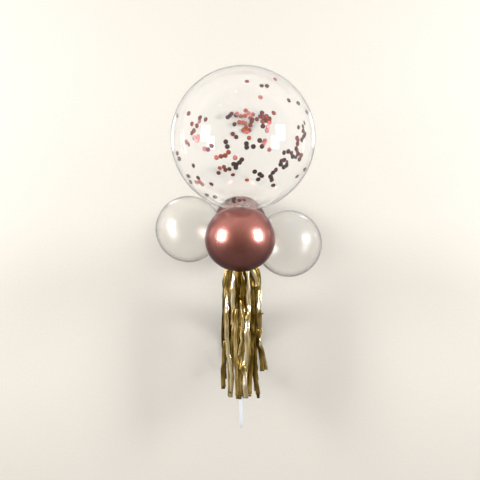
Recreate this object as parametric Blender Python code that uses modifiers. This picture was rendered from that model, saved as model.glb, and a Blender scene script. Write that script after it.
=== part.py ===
# A clear bubble balloon on a stick, with a collar of four small balloons and a foil tassel.
# Lengths are in metres. Each piece is modelled upright, with the stick along Z and the bubble's
# centre at the origin, and an empty then lays the whole thing on its back, front side up.
import math
import random

import bmesh
import bpy
from mathutils import Vector

CONTACT_GAP = 0.0003

# The bubble, and the flat spot that it lies on.
BUBBLE_RADIUS = 0.130
BUBBLE_FLAT_RADIUS = 0.020
BUBBLE_NECK_ROOT = 0.012
BUBBLE_NECK_RADIUS = 0.0045
BUBBLE_NECK_LENGTH = 0.016
BUBBLE_SEGMENTS = 48
BUBBLE_RINGS = 20

# The small balloons. Each neck runs to one tie on the stick.
SMALL_RADIUS = 0.0595
SMALL_FLAT_RADIUS = 0.015
SMALL_NECK_ROOT = 0.012
SMALL_NECK_RADIUS = 0.0034
SMALL_SEGMENTS = 28
SMALL_RINGS = 13

# How far each small balloon stands off the stick, beyond its own radius, and how far its centre
# is above the tie, or below it where the value is negative.
LEFT_NECK = 0.0368
LEFT_RISE = 0.017
RIGHT_NECK = 0.0242
RIGHT_RISE = -0.0077
FRONT_NECK = 0.0305
FRONT_RISE = -0.001
BACK_RISE = 0.022
# The two side balloons sit this far in front of the stick, and the other two a little left of it.
LEFT_FORWARD = 0.004
RIGHT_FORWARD = 0.009
PAIR_SHIFT = 0.004

# The cup at the top of the stick.
CUP_RIM_RADIUS = 0.015
CUP_WALL = 0.0012
CUP_DEPTH = 0.019
CUP_STEM_RADIUS = 0.005
CUP_STEM_LENGTH = 0.016
SOCKET_DEPTH = 0.012
SOCKET_CLEARANCE = 0.0003

# The stick is a plastic tube.
STICK_RADIUS = 0.003
STICK_WALL = 0.0008
STICK_LENGTH = 0.368

# The tie that holds the four necks on the stick, below the cup.
TIE_DROP = 0.017
TIE_THICKNESS = 0.0052

# The tassel's bound head, below the tie.
HEAD_DROP = 0.012
HEAD_LENGTH = 0.018
HEAD_RADIUS = 0.0095

# The tassel's strands, in a row over the stick, one at each side of it and one below it.
OVER_COUNT = 6
BESIDE_COUNT = 3
BELOW_COUNT = 9
# How far round the stick each row of roots reaches, as an angle from the row's middle.
OVER_ROOTS = 0.9
BESIDE_ROOTS = 0.25
BELOW_ROOTS = 0.97
# The row over the stick fills this share of the tassel's width and sags this much at its edge.
OVER_SPREAD = 0.6
OVER_SAG = 0.011
# The highest and lowest strand beside the stick end at these shares of its height.
BESIDE_HIGH = 0.66
BESIDE_LOW = 0.12
# The share of its length over which a strand comes down.
OVER_FALL = 0.95
BESIDE_FALL = 0.9
BELOW_FALL = 0.66
STRAND_LENGTH = 0.265
STRAND_LENGTH_SPREAD = 0.006
STRAND_WIDTH = 0.006
STRAND_ROOT_WIDTH = 0.0013
STRAND_THICKNESS = 0.0007
STRAND_ROOT_INSET = 0.008
STRAND_ROOT_RADIUS = 0.0066
STRAND_STEPS = 12
STRAND_FLARE = 0.016
STRAND_SWAY = 0.0009
STRAND_WAVE_LENGTH = 0.114
STRAND_TURN = 0.4
TASSEL_HALF_WIDTH = 0.034
FLOOR_CLEARANCE = 0.0006
STRAND_SEED = 11

ROUND_STEPS = 24

# Heights along the stick, measured up from the bubble's centre.
CUP_RIM_Z = -math.sqrt(BUBBLE_RADIUS**2 - (CUP_RIM_RADIUS - CUP_WALL) ** 2) - CONTACT_GAP
CUP_FLOOR_Z = CUP_RIM_Z - CUP_DEPTH
STEM_END_Z = CUP_FLOOR_Z - CUP_STEM_LENGTH
SOCKET_TOP_Z = STEM_END_Z + SOCKET_DEPTH
STICK_TOP_Z = SOCKET_TOP_Z - CONTACT_GAP
STICK_END_Z = STICK_TOP_Z - STICK_LENGTH
TIE_Z = STEM_END_Z - TIE_DROP
HEAD_TOP_Z = TIE_Z - HEAD_DROP
HEAD_END_Z = HEAD_TOP_Z - HEAD_LENGTH

BORE_RADIUS = STICK_RADIUS + SOCKET_CLEARANCE
TIE_OUTER_RADIUS = BORE_RADIUS + TIE_THICKNESS

# Lying down, the bubble's centre and the stick are this high above the floor.
REST_HEIGHT = math.sqrt(BUBBLE_RADIUS**2 - BUBBLE_FLAT_RADIUS**2)
BACK_CENTRE_HEIGHT = math.sqrt(SMALL_RADIUS**2 - SMALL_FLAT_RADIUS**2)


def clear_scene():
    for obj in list(bpy.data.objects):
        bpy.data.objects.remove(obj, do_unlink=True)


def collection(name, hidden=False):
    made = bpy.data.collections.new(name)
    made.hide_render = hidden
    bpy.context.scene.collection.children.link(made)
    return made


def material(name, colour, roughness, metallic=0.0, alpha=1.0):
    made = bpy.data.materials.new(name)
    made.use_nodes = True
    shader = made.node_tree.nodes["Principled BSDF"]
    shader.inputs["Base Color"].default_value = (*colour, 1.0)
    shader.inputs["Roughness"].default_value = roughness
    shader.inputs["Metallic"].default_value = metallic
    shader.inputs["Alpha"].default_value = alpha
    return made


def place(name, mesh, into, finish, location=(0, 0, 0), rotation=None):
    """Adds a mesh as a named object, with its finish."""
    obj = bpy.data.objects.new(name, mesh)
    into.objects.link(obj)
    obj.location = location
    if rotation is not None:
        obj.rotation_euler = rotation
    mesh.materials.clear()
    mesh.materials.append(finish)
    mesh.shade_smooth()
    mesh.set_sharp_from_angle(angle=math.radians(35))
    return obj


def evaluated_mesh(obj):
    """The object's mesh with its modifiers applied. The object itself is removed."""
    graph = bpy.context.evaluated_depsgraph_get()
    made = bpy.data.meshes.new_from_object(obj.evaluated_get(graph))
    bpy.data.objects.remove(obj, do_unlink=True)
    return made


def turned(profile, steps, closed=False):
    """A turned mesh, from (radius, height) points that run down the outer side."""
    mesh = bpy.data.meshes.new("profile")
    edges = [(i, i + 1) for i in range(len(profile) - 1)]
    if closed:
        edges.append((len(profile) - 1, 0))
    mesh.from_pydata([(radius, 0.0, height) for radius, height in profile], edges, [])
    obj = bpy.data.objects.new("profile", mesh)
    bpy.context.scene.collection.objects.link(obj)
    screw = obj.modifiers.new("Screw", "SCREW")
    screw.axis = "Z"
    screw.angle = math.tau
    screw.steps = steps
    screw.render_steps = steps
    screw.use_merge_vertices = True
    screw.merge_threshold = 0.00001
    return evaluated_mesh(obj)


def balloon_profile(radius, root, neck, end, rings):
    """A round balloon whose skin draws in to a neck. root is the sphere's radius where the neck
    begins, and end is how far below the centre the neck is cut off."""
    last = math.pi - math.asin(root / radius)
    points = []
    for i in range(rings + 1):
        turn = last * i / rings
        points.append((radius * math.sin(turn), radius * math.cos(turn)))
    start = points[-1][1]
    draw_end = -(radius + end) / 2
    for share in (0.3, 0.65, 1.0):
        points.append((neck + (root - neck) * (1 - share) ** 2, start + (draw_end - start) * share))
    points += [(neck, -end), (0.0, -end)]
    return points


def ring_profile(radius, half_thickness, height, steps):
    """A closed circle of points that runs down its outer side."""
    points = []
    for i in range(steps):
        turn = math.pi / 2 - math.tau * i / steps
        points.append((radius + half_thickness * math.cos(turn), height + half_thickness * math.sin(turn)))
    return points


def flatten(obj, point, normal):
    """Cuts the object flat where it would pass a plane. The plane is in the upright frame."""
    to_mesh = obj.matrix_basis.inverted()
    local_normal = (to_mesh.to_3x3() @ Vector(normal)).normalized()
    shape = bmesh.new()
    shape.from_mesh(obj.data)
    cut = bmesh.ops.bisect_plane(
        shape,
        geom=shape.verts[:] + shape.edges[:] + shape.faces[:],
        plane_co=to_mesh @ Vector(point),
        plane_no=local_normal,
        clear_outer=True,
    )
    rim = [item for item in cut["geom_cut"] if isinstance(item, bmesh.types.BMEdge)]
    if rim:
        bmesh.ops.contextual_create(shape, geom=rim)
        bmesh.ops.recalc_face_normals(shape, faces=shape.faces[:])
    shape.to_mesh(obj.data)
    shape.free()
    obj.data.set_sharp_from_angle(angle=math.radians(35))


def press_together(first, second):
    """Flattens two balloons against each other where they meet, with the contact gap between."""
    (a, centre_a, radius_a), (b, centre_b, radius_b) = first, second
    span = centre_b - centre_a
    if span.length >= radius_a + radius_b + CONTACT_GAP:
        return
    along = span.normalized()
    share = (span.length**2 + radius_a**2 - radius_b**2) / (2 * span.length)
    flatten(a, centre_a + along * (share - CONTACT_GAP / 2), along)
    flatten(b, centre_a + along * (share + CONTACT_GAP / 2), -along)


def build_bubble(into, film):
    profile = balloon_profile(
        BUBBLE_RADIUS,
        BUBBLE_NECK_ROOT,
        BUBBLE_NECK_RADIUS,
        BUBBLE_RADIUS + BUBBLE_NECK_LENGTH,
        BUBBLE_RINGS,
    )
    return place("bubble_balloon", turned(profile, BUBBLE_SEGMENTS), into, film)


def small_balloon_centres():
    """Where the four small balloons are. The back one is as far back as the floor lets it be,
    and presses into the floor if the tie leaves it no more room."""
    back = max(REST_HEIGHT - BACK_CENTRE_HEIGHT, SMALL_RADIUS + TIE_OUTER_RADIUS)
    side_left = math.sqrt((SMALL_RADIUS + LEFT_NECK) ** 2 - LEFT_FORWARD**2)
    side_right = math.sqrt((SMALL_RADIUS + RIGHT_NECK) ** 2 - RIGHT_FORWARD**2)
    return {
        "clear_balloon_left": Vector((-side_left, -LEFT_FORWARD, TIE_Z + LEFT_RISE)),
        "clear_balloon_right": Vector((side_right, -RIGHT_FORWARD, TIE_Z + RIGHT_RISE)),
        "chrome_balloon_front": Vector((-PAIR_SHIFT, -SMALL_RADIUS - FRONT_NECK, TIE_Z + FRONT_RISE)),
        "chrome_balloon_back": Vector((-PAIR_SHIFT, back, TIE_Z + BACK_RISE)),
    }


def build_small_balloon(name, centre, into, finish):
    """One small balloon, with its neck's open end at the tie."""
    to_tie = Vector((0, 0, TIE_Z)) - centre
    reach = to_tie.length - TIE_OUTER_RADIUS - CONTACT_GAP
    profile = balloon_profile(
        SMALL_RADIUS, SMALL_NECK_ROOT, SMALL_NECK_RADIUS, max(reach, SMALL_RADIUS), SMALL_RINGS
    )
    turn = to_tie.to_track_quat("-Z", "Y").to_euler()
    obj = place(name, turned(profile, SMALL_SEGMENTS), into, finish, centre, turn)
    outward = Vector((centre.x, centre.y, 0)).normalized()
    flatten(obj, outward * (TIE_OUTER_RADIUS + CONTACT_GAP), -outward)
    return obj


def build_cup(into, plastic):
    """A turned cup: its bowl takes the bubble's neck, and its stem takes the stick."""
    inner = CUP_RIM_RADIUS - CUP_WALL
    bowl_floor = CUP_STEM_RADIUS + CUP_WALL
    waist_z = CUP_FLOOR_Z - CUP_WALL
    profile = [
        (0.0, CUP_FLOOR_Z),
        (bowl_floor, CUP_FLOOR_Z),
        (inner, CUP_RIM_Z - CUP_WALL),
        (inner, CUP_RIM_Z),
        (CUP_RIM_RADIUS, CUP_RIM_Z),
        (CUP_RIM_RADIUS, CUP_RIM_Z - CUP_WALL),
        (bowl_floor + CUP_WALL, waist_z),
        (CUP_STEM_RADIUS, waist_z - CUP_WALL),
        (CUP_STEM_RADIUS, STEM_END_Z),
        (BORE_RADIUS, STEM_END_Z),
        (BORE_RADIUS, SOCKET_TOP_Z),
        (0.0, SOCKET_TOP_Z),
    ]
    return place("balloon_cup", turned(profile, ROUND_STEPS), into, plastic)


def build_stick(into, plastic):
    inner = STICK_RADIUS - STICK_WALL
    profile = [
        (STICK_RADIUS, STICK_TOP_Z),
        (STICK_RADIUS, STICK_END_Z),
        (inner, STICK_END_Z),
        (inner, STICK_TOP_Z),
    ]
    return place("stick", turned(profile, ROUND_STEPS, closed=True), into, plastic)


def build_tie(into, rubber):
    half = TIE_THICKNESS / 2
    profile = ring_profile(BORE_RADIUS + half, half, TIE_Z, 8)
    return place("neck_tie", turned(profile, ROUND_STEPS, closed=True), into, rubber)


def tassel_rows():
    """The strands in three rows: over the stick, beside it, and below it down to the floor.
    Each strand is its root's angle round the stick from the top, where it heads to across the
    tassel, the height of its far end, the share of its length over which it comes down, and how
    far it turns outwards on the way."""
    stick_top = REST_HEIGHT + BORE_RADIUS + STRAND_THICKNESS
    floor = FLOOR_CLEARANCE + STRAND_THICKNESS / 2
    beside_root = (OVER_ROOTS + math.pi - BELOW_ROOTS) / 2
    strands = []
    for i in range(OVER_COUNT):
        side = 2 * i / (OVER_COUNT - 1) - 1
        height = stick_top - OVER_SAG * side**2
        strands.append((side * OVER_ROOTS, side * OVER_SPREAD, height, OVER_FALL, 0.0))
    for side in (-1, 1):
        for i in range(BESIDE_COUNT):
            share = i / (BESIDE_COUNT - 1)
            angle = side * (beside_root + BESIDE_ROOTS * (2 * share - 1))
            across = side * (1 - (1 - OVER_SPREAD) * (BESIDE_COUNT - 1 - i) / BESIDE_COUNT)
            height = REST_HEIGHT * (BESIDE_HIGH + (BESIDE_LOW - BESIDE_HIGH) * share)
            strands.append((angle, across, height, BESIDE_FALL, side * STRAND_TURN))
    for i in range(BELOW_COUNT):
        side = 1 - 2 * i / (BELOW_COUNT - 1)
        angle = math.pi - side * BELOW_ROOTS
        strands.append((angle, side, floor, BELOW_FALL, side * STRAND_TURN))
    return strands


def strand_shape(strand, wander):
    """A strand's centreline and, at each point, half its width across its flat side."""
    angle, across, end_height, fall, turn = strand
    length = STRAND_LENGTH + STRAND_LENGTH_SPREAD * wander.uniform(-1, 1)
    phase = wander.uniform(0, math.tau)
    root_x = STRAND_ROOT_RADIUS * math.sin(angle)
    start_height = REST_HEIGHT + STRAND_ROOT_RADIUS * math.cos(angle)
    root_tilt = math.atan(math.tan(angle))
    target_x = TASSEL_HALF_WIDTH * across
    step = length / STRAND_STEPS
    points = []
    along = 0.0
    for i in range(STRAND_STEPS + 1):
        free = max(along - STRAND_ROOT_INSET, 0.0)
        spread = 1 - math.exp(-free / STRAND_FLARE)
        share = min(free / (fall * (length - STRAND_ROOT_INSET)), 1.0)
        ease = share * share * (3 - 2 * share)
        sway = STRAND_SWAY * spread * math.sin(phase + along * math.tau / STRAND_WAVE_LENGTH)
        x = root_x + (target_x - root_x) * spread + sway
        height = start_height + (end_height - start_height) * ease
        tilt = root_tilt * (1 - spread) + turn * spread * (1 - share)
        width = STRAND_ROOT_WIDTH + (STRAND_WIDTH - STRAND_ROOT_WIDTH) * spread
        centre = Vector((x, REST_HEIGHT - height, HEAD_END_Z + STRAND_ROOT_INSET - along))
        points.append((centre, Vector((math.cos(tilt), math.sin(tilt), 0)) * (width / 2)))
        slope = 6 * share * (1 - share) * (end_height - start_height) / (fall * length)
        along += step / math.hypot(1, slope)
    return points


def build_strand(strand, wander, into):
    """A flat strip that follows a strand's shape, thickened evenly about its middle."""
    points = strand_shape(strand, wander)
    shape = bmesh.new()
    bmesh.ops.create_grid(shape, x_segments=1, y_segments=STRAND_STEPS, size=1.0)
    for vert in shape.verts:
        centre, side = points[round((vert.co.y + 1) / 2 * STRAND_STEPS)]
        vert.co = centre + side * vert.co.x
    mesh = bpy.data.meshes.new("strand")
    shape.to_mesh(mesh)
    shape.free()
    obj = bpy.data.objects.new("strand", mesh)
    into.objects.link(obj)
    obj.hide_render = True
    obj.display_type = "WIRE"
    thicken = obj.modifiers.new("Solidify", "SOLIDIFY")
    thicken.thickness = STRAND_THICKNESS
    thicken.offset = 0.0
    return obj


def build_tassel(into, helpers, foil):
    """The bound head round the stick, with every strand joined to it."""
    edge = 0.002
    head = [
        (BORE_RADIUS, HEAD_TOP_Z),
        (HEAD_RADIUS - edge, HEAD_TOP_Z),
        (HEAD_RADIUS, HEAD_TOP_Z - edge),
        (HEAD_RADIUS, HEAD_END_Z + edge),
        (HEAD_RADIUS - edge, HEAD_END_Z),
        (BORE_RADIUS, HEAD_END_Z),
    ]
    tassel = place("tassel", turned(head, ROUND_STEPS, closed=True), into, foil)
    wander = random.Random(STRAND_SEED)
    for strand in tassel_rows():
        build_strand(strand, wander, helpers)
    join = tassel.modifiers.new("Strands", "BOOLEAN")
    join.operation = "UNION"
    join.operand_type = "COLLECTION"
    join.collection = helpers
    join.solver = "EXACT"
    return tassel


def main():
    clear_scene()
    parts = collection("bubble_balloon_on_stick")
    helpers = collection("tassel_strands", hidden=True)

    film = material("clear_film", (0.93, 0.93, 0.90), 0.05, alpha=0.3)
    clear_latex = material("clear_latex", (0.80, 0.77, 0.70), 0.25, alpha=0.45)
    chrome_latex = material("chrome_rose_latex", (0.46, 0.19, 0.16), 0.22, metallic=0.9)
    plastic = material("white_plastic", (0.85, 0.86, 0.88), 0.35)
    foil = material("gold_foil", (0.55, 0.42, 0.20), 0.3, metallic=1.0)

    bubble = build_bubble(parts, film)
    finishes = {"clear": clear_latex, "chrome": chrome_latex}
    balloons = [(bubble, Vector((0, 0, 0)), BUBBLE_RADIUS)]
    for name, centre in small_balloon_centres().items():
        finish = finishes[name.split("_")[0]]
        balloons.append((build_small_balloon(name, centre, parts, finish), centre, SMALL_RADIUS))
    for i, first in enumerate(balloons):
        for second in balloons[i + 1 :]:
            press_together(first, second)
    for obj, _, _ in balloons:
        flatten(obj, (0, REST_HEIGHT, 0), (0, 1, 0))

    build_cup(parts, plastic)
    build_stick(parts, plastic)
    build_tie(parts, clear_latex)
    build_tassel(parts, helpers, foil)

    laid_down = bpy.data.objects.new("laid_down", None)
    parts.objects.link(laid_down)
    laid_down.location = (0, 0, REST_HEIGHT)
    laid_down.rotation_euler = (-math.pi / 2, 0, 0)
    for obj in list(parts.objects) + list(helpers.objects):
        if obj is not laid_down:
            obj.parent = laid_down


main()
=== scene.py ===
import math
import random

import bmesh
import bpy
from mathutils import Matrix, Vector


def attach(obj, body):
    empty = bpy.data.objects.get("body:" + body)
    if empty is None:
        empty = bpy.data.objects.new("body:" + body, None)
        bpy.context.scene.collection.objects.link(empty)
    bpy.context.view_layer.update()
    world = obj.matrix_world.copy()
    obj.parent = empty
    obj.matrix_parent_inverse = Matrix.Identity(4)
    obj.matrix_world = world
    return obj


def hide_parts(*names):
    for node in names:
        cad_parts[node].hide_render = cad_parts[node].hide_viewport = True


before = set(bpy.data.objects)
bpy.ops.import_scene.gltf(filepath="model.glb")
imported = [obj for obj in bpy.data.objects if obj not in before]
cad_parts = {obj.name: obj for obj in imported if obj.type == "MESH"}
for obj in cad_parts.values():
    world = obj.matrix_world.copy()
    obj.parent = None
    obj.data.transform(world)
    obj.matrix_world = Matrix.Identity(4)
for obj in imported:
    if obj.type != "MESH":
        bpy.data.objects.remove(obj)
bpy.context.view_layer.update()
print("solids loaded")

# All lengths are in metres. The stick lies along Y at stickHeight, and +Z is the side that shows.
layout = {
    "stickHeight": 0.128452,
    "tieAlong": -0.181566,
    "headTop": -0.193566,
    "headEnd": -0.211566,
    "stickTop": -0.152866,
    "stickEnd": -0.520866,
    "cupRim": -0.129566,
    "floorGap": 0.0006,
}
stickHeight = layout["stickHeight"]


# small helpers

def hexToLinear(code):
    # sRGB hex to the linear values that a shader works in
    channels = [int(code[i : i + 2], 16) / 255 for i in (1, 3, 5)]
    linear = [c / 12.92 if c <= 0.04045 else ((c + 0.055) / 1.055) ** 2.4 for c in channels]
    return (*linear, 1.0)


def addNode(tree, kind, settings=None, links=None):
    # settings: an input's name or number, or a property, to its value
    # links: an input's name or number to the output that feeds it, or to a node, for its first one
    node = tree.nodes.new(kind)
    for key, value in (settings or {}).items():
        if isinstance(key, int) or key in node.inputs:
            node.inputs[key].default_value = value
        else:
            setattr(node, key, value)
    for key, source in (links or {}).items():
        output = source.outputs[0] if isinstance(source, bpy.types.Node) else source
        tree.links.new(output, node.inputs[key])
    return node


def newMaterial(name):
    # with its tree, and the place on the object in metres, which sizes every pattern
    material = bpy.data.materials.new(name)
    material.use_nodes = True
    tree = material.node_tree
    tree.nodes.clear()
    return material, tree, addNode(tree, "ShaderNodeTexCoord").outputs["Object"]


def rampStops(node, stops):
    # stops: a list of (place, colour in hex)
    ramp = node.color_ramp
    while len(ramp.elements) > 1:
        ramp.elements.remove(ramp.elements[-1])
    for number, (place, code) in enumerate(stops):
        stop = ramp.elements.new(place) if number else ramp.elements[0]
        stop.position, stop.color = place, hexToLinear(code)
    return node


def addPiece(name, points, faces, material, nodes=()):
    # one mesh piece, smooth, riding with the part
    mesh = bpy.data.meshes.new(name)
    mesh.from_pydata([tuple(p) for p in points], [], faces)
    mesh.validate()
    mesh.shade_smooth()
    piece = bpy.data.objects.new(name, mesh)
    bpy.context.scene.collection.objects.link(piece)
    mesh.materials.append(material)
    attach(piece, "root")
    if nodes:
        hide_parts(*nodes)
    return piece


def faceOut(piece, weld=0.0):
    # turns every face outwards, after joining points closer than weld
    shape = bmesh.new()
    shape.from_mesh(piece.data)
    if weld:
        bmesh.ops.remove_doubles(shape, verts=shape.verts[:], dist=weld)
    bmesh.ops.recalc_face_normals(shape, faces=shape.faces[:])
    shape.to_mesh(piece.data)
    shape.free()


def thicken(piece, name, thickness, offset):
    # offset: -1 adds the thickness inside the skin, 0 on both of its sides
    skin = piece.modifiers.new(name, "SOLIDIFY")
    skin.thickness = thickness
    skin.offset = offset


def letLightThrough(piece):
    # a clear skin throws no dark shadow on the floor
    piece.visible_shadow = False
    piece.visible_diffuse = False


def roundPoint(centre, side, other, turn, out):
    # a point at a distance from the centre, turned from side towards other
    return centre + (side * math.cos(turn) + other * math.sin(turn)) * out


def skinRings(rings, capStart=False, capEnd=False, loop=True):
    # joins rings of points into one skin
    count = len(rings[0])
    points = [p for ring in rings for p in ring]
    faces = []
    steps = count if loop else count - 1
    for i in range(len(rings) - 1):
        for j in range(steps):
            a, b = i * count + j, i * count + (j + 1) % count
            faces.append((a, b, b + count, a + count))
    if capStart:
        faces.append(tuple(reversed(range(count))))
    if capEnd:
        last = (len(rings) - 1) * count
        faces.append(tuple(range(last, last + count)))
    return points, faces


def joinShapes(shapes):
    # several (points, faces) as one
    points, faces = [], []
    for morePoints, moreFaces in shapes:
        start = len(points)
        points += morePoints
        faces += [tuple(start + i for i in face) for face in moreFaces]
    return points, faces


def smoothStep(low, high, value):
    share = min(max((value - low) / (high - low), 0.0), 1.0)
    return share * share * (3 - 2 * share)


def pressed(point, planes):
    # pushes a point back behind soft planes, each (a point, its outward normal, softness)
    felt, most = 6, 30
    for place, normal, soft in planes:
        depth = (point - place).dot(normal)
        if depth > -felt * soft:
            eased = -soft * math.log1p(math.exp(min(-depth / soft, most)))
            point = point + normal * (eased - depth)
    return point


# materials

def stretchedFilm():
    # Clear thermoplastic film, blown and stretched: thin, colourless and glossy, with a faint
    # milky veil and long soft ripples that bend its highlights.
    material, tree, place = newMaterial("stretchedClearFilm")
    # ripples about 45 mm apart
    ripples = addNode(tree, "ShaderNodeTexNoise",
                      {"Scale": 1 / 0.045, "Detail": 1.5, "Roughness": 0.4}, {"Vector": place})
    bump = addNode(tree, "ShaderNodeBump", {"Strength": 0.5, "Distance": 0.0006},
                   {"Height": ripples})
    shader = addNode(tree, "ShaderNodeBsdfPrincipled",
                     {"Base Color": hexToLinear("#ffffff"), "Roughness": 0.015, "IOR": 1.46,
                      "Transmission Weight": 0.98}, {"Normal": bump})
    addNode(tree, "ShaderNodeOutputMaterial", None, {"Surface": shader})
    return material


def confettiFoil():
    # Metallised polyester, punched into discs: rose gold and slightly crumpled, with painted light
    # and shade that runs from dark maroon to bright copper and pink, cluster by cluster and disc by
    # disc.
    material, tree, place = newMaterial("punchedRoseFoil")
    # the painted light and shade stored on each point, with a random share for each disc
    paintedLight = addNode(tree, "ShaderNodeAttribute", {"attribute_name": "paintedLight"})
    each = addNode(tree, "ShaderNodeNewGeometry")
    spread = addNode(tree, "ShaderNodeMath", {"operation": "MULTIPLY_ADD", 1: 0.28, 2: -0.14},
                     {0: each.outputs["Random Per Island"]})
    mixed = addNode(tree, "ShaderNodeMath", {"operation": "ADD", "use_clamp": True},
                    {0: paintedLight.outputs["Fac"], 1: spread})
    colour = rampStops(addNode(tree, "ShaderNodeValToRGB", None, {"Fac": mixed}),
                       [(0.0, "#400a04"), (0.3, "#762112"), (0.6, "#c04d20"), (0.85, "#bc7874"),
                        (1.0, "#8c5c62")])
    # the discs painted paler are also rougher, so they blur their highlights more
    rough = addNode(tree, "ShaderNodeMapRange", {1: 0.4, 2: 0.9, 3: 0.34, 4: 0.58}, {0: mixed})
    # crumples about 3 mm apart
    crumple = addNode(tree, "ShaderNodeTexNoise", {"Scale": 1 / 0.003, "Detail": 2.0},
                      {"Vector": place})
    bump = addNode(tree, "ShaderNodeBump", {"Strength": 0.35, "Distance": 0.0003},
                   {"Height": crumple})
    shader = addNode(tree, "ShaderNodeBsdfPrincipled",
                     {"Metallic": 1.0, "Coat Weight": 0.2, "Coat Roughness": 0.25},
                     {"Base Color": colour, "Roughness": rough, "Normal": bump})
    addNode(tree, "ShaderNodeOutputMaterial", None, {"Surface": shader})
    return material


def clearLatex():
    # Natural latex without pigment, dipped and blown up: clear but faintly milky, greyer where
    # it is seen along its skin, with a soft sheen round its highlights.
    material, tree, place = newMaterial("blownClearLatex")
    # cloudy patches about 25 mm across, where the dip was thicker
    cloud = addNode(tree, "ShaderNodeTexNoise",
                    {"Scale": 1 / 0.025, "Detail": 3.0, "Roughness": 0.5}, {"Vector": place})
    amber = rampStops(addNode(tree, "ShaderNodeValToRGB", None, {"Fac": cloud}),
                      [(0.3, "#fffdf8"), (0.7, "#ffffff")])
    facing = addNode(tree, "ShaderNodeLayerWeight", {"Blend": 0.5})
    rim = rampStops(addNode(tree, "ShaderNodeValToRGB", None, {"Fac": facing.outputs["Facing"]}),
                    [(0.62, "#ffffff"), (0.86, "#dedad8"), (1.0, "#9c979c")])
    colour = addNode(tree, "ShaderNodeMix", {"data_type": "RGBA", "blend_type": "MULTIPLY", 0: 1.0},
                     {6: amber, 7: rim})
    # fine dip marks, about 3 mm apart
    marks = addNode(tree, "ShaderNodeTexNoise", {"Scale": 1 / 0.003, "Detail": 1.0},
                    {"Vector": place})
    bump = addNode(tree, "ShaderNodeBump", {"Strength": 0.05, "Distance": 0.0002},
                   {"Height": marks})
    shader = addNode(tree, "ShaderNodeBsdfPrincipled",
                     {"Roughness": 0.18, "IOR": 1.36, "Transmission Weight": 0.97,
                      "Coat Weight": 0.6, "Coat Roughness": 0.28, "Coat IOR": 1.5},
                     {"Base Color": colour.outputs[2], "Normal": bump})
    addNode(tree, "ShaderNodeOutputMaterial", None, {"Surface": shader})
    return material


def chromeLatex():
    # Latex with a bright metallic pigment skin in rose gold: a blurred mirror in mauve, with a fine
    # pearly grain. Towards its rim, where it is seen edge on, it is darker: partly its flakes,
    # partly painted shade.
    material, tree, place = newMaterial("metallicRoseLatex")
    # pigment flow about 18 mm across
    flow = addNode(tree, "ShaderNodeTexNoise",
                   {"Scale": 1 / 0.018, "Detail": 3.0, "Roughness": 0.55}, {"Vector": place})
    colour = rampStops(addNode(tree, "ShaderNodeValToRGB", None, {"Fac": flow}),
                       [(0.3, "#b26457"), (0.7, "#ba7163")])
    # painted shade towards the rim, by how far the skin turns from the view
    facing = addNode(tree, "ShaderNodeLayerWeight", {"Blend": 0.5})
    paintedEdgeShade = rampStops(addNode(tree, "ShaderNodeValToRGB", None, {"Fac": facing.outputs["Facing"]}),
                       [(0.0, "#fbf0db"), (0.13, "#ffffff"), (0.5, "#c8b2a6"), (0.8, "#a58a7e")])
    paintedShadeColour = addNode(tree, "ShaderNodeMix",
                       {"data_type": "RGBA", "blend_type": "MULTIPLY", 0: 1.0},
                       {6: colour, 7: paintedEdgeShade})
    rough = addNode(tree, "ShaderNodeMapRange", {1: 0.3, 2: 0.7, 3: 0.23, 4: 0.25}, {0: flow})
    # pearly grain, drawn at 1.2 mm because the real pigment is too fine to see
    grain = addNode(tree, "ShaderNodeTexNoise", {"Scale": 1 / 0.0012, "Detail": 1.0},
                    {"Vector": place})
    bump = addNode(tree, "ShaderNodeBump", {"Strength": 0.035, "Distance": 0.0001},
                   {"Height": grain})
    shader = addNode(tree, "ShaderNodeBsdfPrincipled",
                     {"Metallic": 0.97, "Specular Tint": hexToLinear("#b98a82"),
                      "Coat Weight": 1.0, "Coat Roughness": 0.28, "Coat IOR": 1.55},
                     {"Base Color": paintedShadeColour.outputs[2], "Roughness": rough, "Normal": bump})
    addNode(tree, "ShaderNodeOutputMaterial", None, {"Surface": shader})
    return material


def extrudedPolypropylene():
    # White polypropylene tube, extruded: slightly translucent and cool, with faint lines along it.
    material, tree, place = newMaterial("extrudedWhitePolypropylene")
    # draw lines 0.5 mm apart across the tube and 120 mm long
    stretch = addNode(tree, "ShaderNodeMapping", {"Scale": (1 / 0.0005, 1 / 0.12, 1 / 0.0005)},
                      {"Vector": place})
    lines = addNode(tree, "ShaderNodeTexNoise", {"Scale": 1.0, "Detail": 2.0},
                    {"Vector": stretch})
    colour = rampStops(addNode(tree, "ShaderNodeValToRGB", None, {"Fac": lines}),
                       [(0.3, "#e2e6ec"), (0.7, "#f3f5f8")])
    bump = addNode(tree, "ShaderNodeBump", {"Strength": 0.2, "Distance": 0.0001},
                   {"Height": lines})
    shader = addNode(tree, "ShaderNodeBsdfPrincipled",
                     {"Roughness": 0.34, "IOR": 1.49, "Subsurface Weight": 0.15,
                      "Subsurface Radius": (0.002, 0.002, 0.002)},
                     {"Base Color": colour, "Normal": bump})
    addNode(tree, "ShaderNodeOutputMaterial", None, {"Surface": shader})
    return material


def mouldedPolystyrene():
    # White polystyrene, injection moulded: even and semi-glossy, with a very fine mould grain.
    material, tree, place = newMaterial("mouldedWhitePolystyrene")
    # mould grain, drawn at 0.8 mm because the real one is too fine to see
    grain = addNode(tree, "ShaderNodeTexNoise", {"Scale": 1 / 0.0008, "Detail": 2.0},
                    {"Vector": place})
    colour = rampStops(addNode(tree, "ShaderNodeValToRGB", None, {"Fac": grain}),
                       [(0.3, "#e8e9ea"), (0.7, "#f1f1f0")])
    bump = addNode(tree, "ShaderNodeBump", {"Strength": 0.12, "Distance": 0.0001},
                   {"Height": grain})
    shader = addNode(tree, "ShaderNodeBsdfPrincipled", {"Roughness": 0.3, "IOR": 1.59},
                     {"Base Color": colour, "Normal": bump})
    addNode(tree, "ShaderNodeOutputMaterial", None, {"Surface": shader})
    return material


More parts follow.
